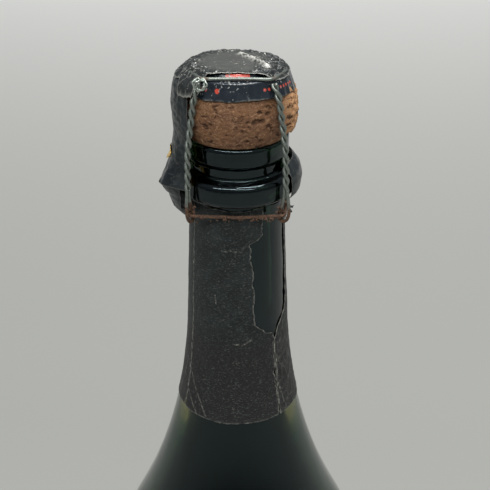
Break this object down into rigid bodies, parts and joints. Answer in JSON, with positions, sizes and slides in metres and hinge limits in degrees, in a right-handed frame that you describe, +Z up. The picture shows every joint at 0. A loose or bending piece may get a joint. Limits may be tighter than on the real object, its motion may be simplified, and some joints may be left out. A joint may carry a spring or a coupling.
{
  "type": "champagne bottle",
  "caption": "Sealed sparkling wine bottle with sloping shoulders, mushroom cork, twisted wire cage with a fold-out key, and torn capsule foil.",
  "frame": {"origin": "centre of the base, on the surface that the bottle stands on", "axes": "+Z up the bottle's axis, -Y towards the front of the neck, +X to the right"},
  "size_m": [0.088, 0.088, 0.3203],
  "materials": {
    "green_glass": "glossy, very dark green",
    "wine": "clear liquid",
    "neck_foil": "matte, finely embossed, lacquered dark",
    "hood_foil": "satin, creased, lacquered dark grey",
    "grain_cork": "matte pressed cork grains",
    "disc_cork": "matte natural cork",
    "plaque_metal": "glossy dark blue lacquer",
    "cage_wire": "dull galvanised wire",
    "rusty_wire": "rusty wire"
  },
  "bodies": {
    "bottle": {"glass_bottle": "green_glass", "wine_fill": "wine", "neck_foil_front": "neck_foil", "neck_foil_back": "neck_foil", "ring_foil_right": "hood_foil", "ring_foil_left": "hood_foil"},
    "cork": {"cork_body": "grain_cork", "cork_disc_upper": "disc_cork", "cork_disc_lower": "disc_cork"},
    "cage": {"plaque": "plaque_metal", "crown_wire": "cage_wire", "leg_front_left": "cage_wire", "leg_front_right": "cage_wire", "leg_rear_left": "cage_wire", "leg_rear_right": "cage_wire", "belt_wire": "rusty_wire", "crown_foil": "hood_foil", "hood_foil": "hood_foil"},
    "key_stem": {"key_stem": "cage_wire"},
    "key_loop": {"key_loop": "cage_wire"}
  },
  "joints": [
    {"name": "cork_pull", "type": "slide", "parent": "bottle", "child": "cork", "axis": [0, 0, 1], "range_m": [0, 0.035]},
    {"name": "cage_lift", "type": "slide", "parent": "cork", "child": "cage", "axis": [0, 0, 1], "range_m": [0, 0.045], "deforming": ["leg_front_left", "leg_front_right", "leg_rear_left", "leg_rear_right", "belt_wire"]},
    {"name": "key_fold", "type": "hinge", "parent": "cage", "child": "key_stem", "pos_m": [0, 0.0176, 0.2802], "axis": [1, 0, 0], "range_deg": [-80, 70]},
    {"name": "key_turn", "type": "hinge", "parent": "key_stem", "child": "key_loop", "pos_m": [0, 0.0176, 0.2802], "axis": [0, 1, 0], "range_deg": [0, 1080]}
  ]
}
